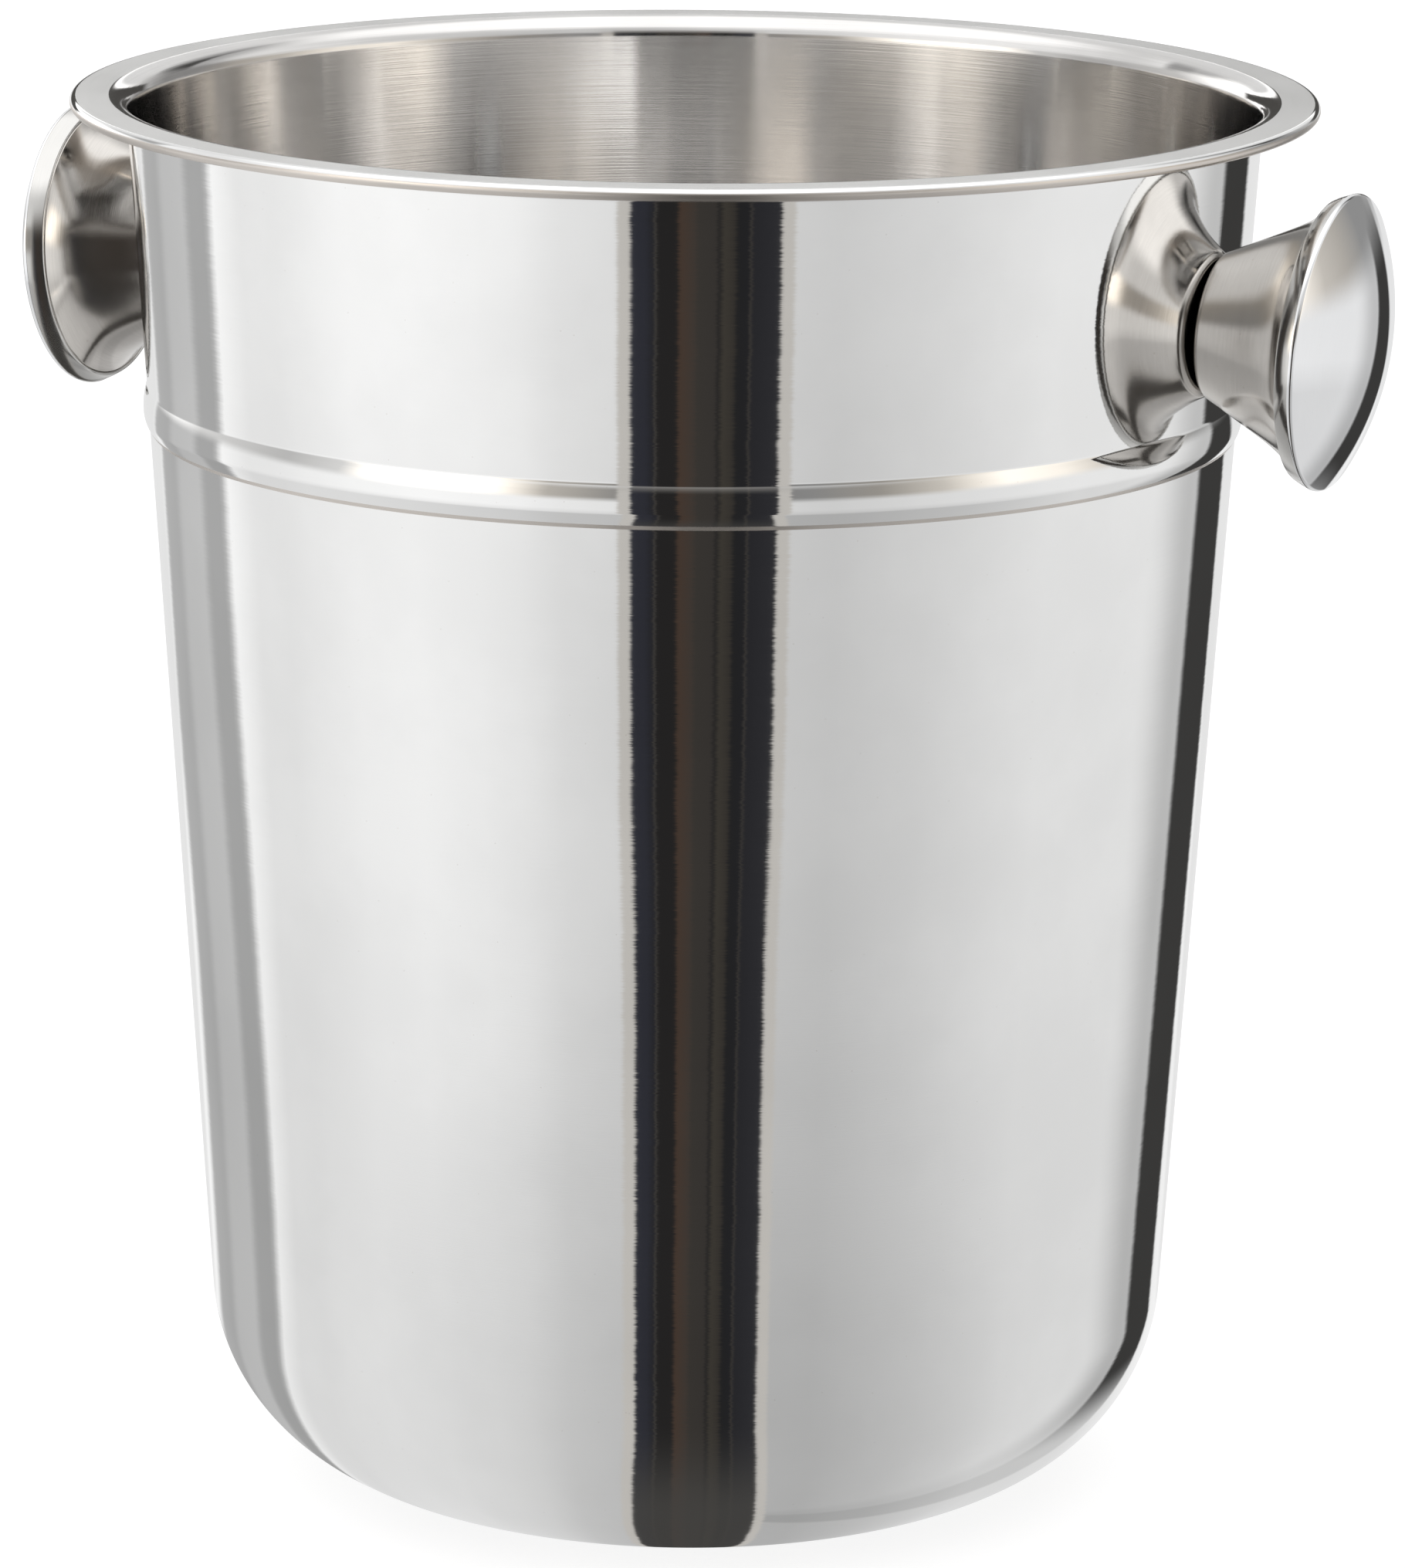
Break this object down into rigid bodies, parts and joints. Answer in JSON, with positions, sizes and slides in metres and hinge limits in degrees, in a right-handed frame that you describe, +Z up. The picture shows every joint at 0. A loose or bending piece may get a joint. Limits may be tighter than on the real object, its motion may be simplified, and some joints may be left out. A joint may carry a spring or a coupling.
{
  "type": "champagne bucket",
  "caption": "Tapered polished steel bucket with a flared rolled rim, a raised bead and trumpet side knobs, for chilling a bottle in ice.",
  "frame": {"origin": "centre of the base, on the surface it stands on", "axes": "+Z up along the bucket's axis of revolution; the knobs lie along +X and -X; +Y is square to the knobs"},
  "size_m": [0.2668, 0.23, 0.262],
  "materials": {
    "polished_steel": "mirror-polished stainless steel outside with very fine lines round it; satin on the rim's top and brushed inside",
    "satin_steel": "satin-polished stainless steel with a warm tint and lines round the knob's axis",
    "fastener_steel": "plain bright stainless steel",
    "seal_silicone": "matt translucent silicone"
  },
  "bodies": {
    "root": {"bucket_shell": "polished_steel", "knob_horn_right": "satin_steel", "knob_cap_right": "polished_steel", "knob_insert_right": "fastener_steel", "knob_screw_right": "fastener_steel", "knob_washer_right": "fastener_steel", "knob_seal_right": "seal_silicone", "knob_horn_left": "satin_steel", "knob_cap_left": "polished_steel", "knob_insert_left": "fastener_steel", "knob_screw_left": "fastener_steel", "knob_washer_left": "fastener_steel", "knob_seal_left": "seal_silicone"}
  },
  "joints": []
}
